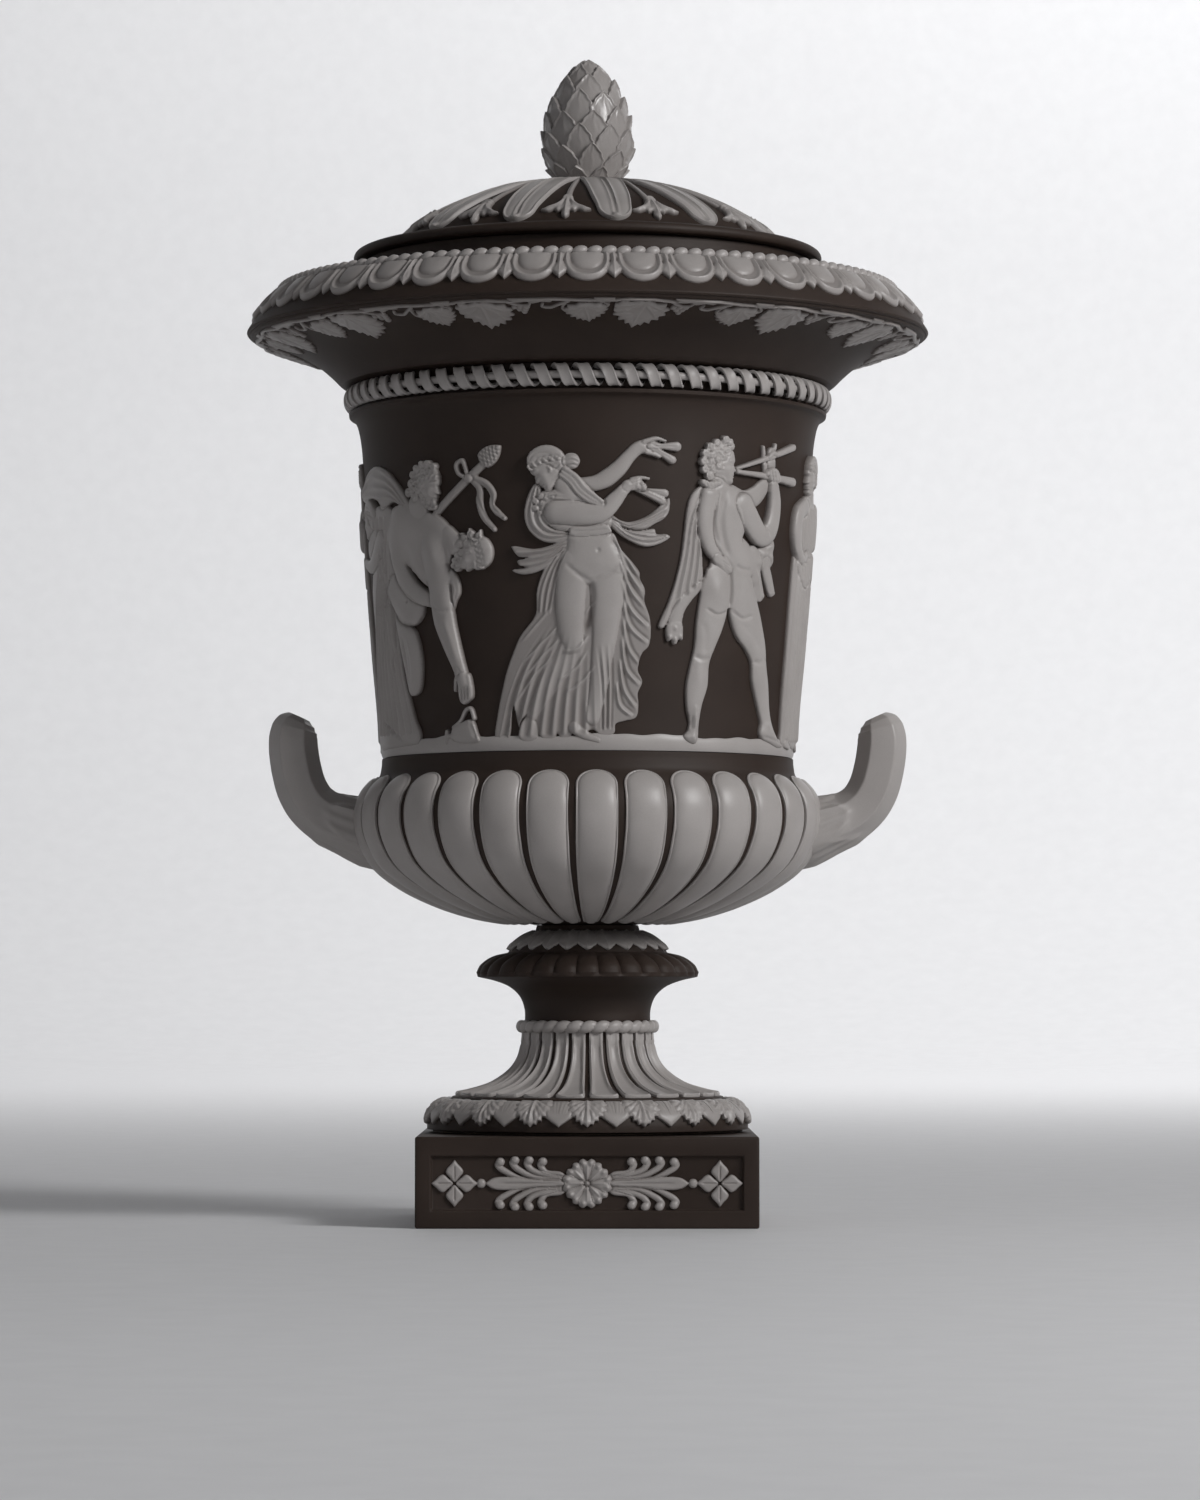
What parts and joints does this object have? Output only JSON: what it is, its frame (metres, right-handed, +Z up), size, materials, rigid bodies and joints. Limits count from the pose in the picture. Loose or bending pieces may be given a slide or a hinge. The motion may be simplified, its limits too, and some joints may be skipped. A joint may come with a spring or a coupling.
{
  "type": "lidded vase",
  "caption": "Lidded campana vase in dark stoneware with pale applied reliefs, a gadrooned bowl with upswept stub handles, a fluted foot and a square plinth; the lid lifts off.",
  "frame": {"origin": "centre of the plinth's underside, on the vase's axis", "axes": "+Z up along the axis of the vase, the front of the frieze faces -Y, the handles lie along X"},
  "size_m": [0.27, 0.27, 0.4605],
  "materials": {
    "dark_stoneware": null,
    "pale_stoneware": null,
    "brass": "plain turned brass",
    "cork": "sheet cork"
  },
  "bodies": {
    "vase": {"plinth": "dark_stoneware", "foot": "dark_stoneware", "bowl": "dark_stoneware", "bell": "dark_stoneware", "rim_ring": "dark_stoneware", "plinth_sprig_front": "pale_stoneware", "plinth_sprig_right": "pale_stoneware", "plinth_sprig_back": "pale_stoneware", "plinth_sprig_left": "pale_stoneware", "foot_flutes": "pale_stoneware", "foot_leaf_border": "pale_stoneware", "foot_rope_ring": "pale_stoneware", "foot_collar_leaves": "pale_stoneware", "bowl_gadroons": "pale_stoneware", "handle_right": "pale_stoneware", "handle_left": "pale_stoneware", "ground_band": "pale_stoneware", "spiral_band": "pale_stoneware", "vine_border": "pale_stoneware", "maenad_front": "pale_stoneware", "maenad_back": "pale_stoneware", "piper_front": "pale_stoneware", "piper_back": "pale_stoneware", "dancer_front": "pale_stoneware", "dancer_back": "pale_stoneware", "silenus_front": "pale_stoneware", "silenus_back": "pale_stoneware", "egg_and_dart_band": "pale_stoneware", "bead_ring": "pale_stoneware", "tie_bolt": "brass", "bolt_washer_upper": "brass", "bolt_washer_lower": "brass", "bolt_nut": "brass", "plinth_gasket": "cork", "foot_gasket": "cork"},
    "lid": {"lid": "dark_stoneware", "lid_leaves": "pale_stoneware", "finial": "pale_stoneware"}
  },
  "joints": [
    {"name": "lid_lift", "type": "slide", "parent": "vase", "child": "lid", "axis": [0, 0, 1], "range_m": [0, 0.1]}
  ]
}
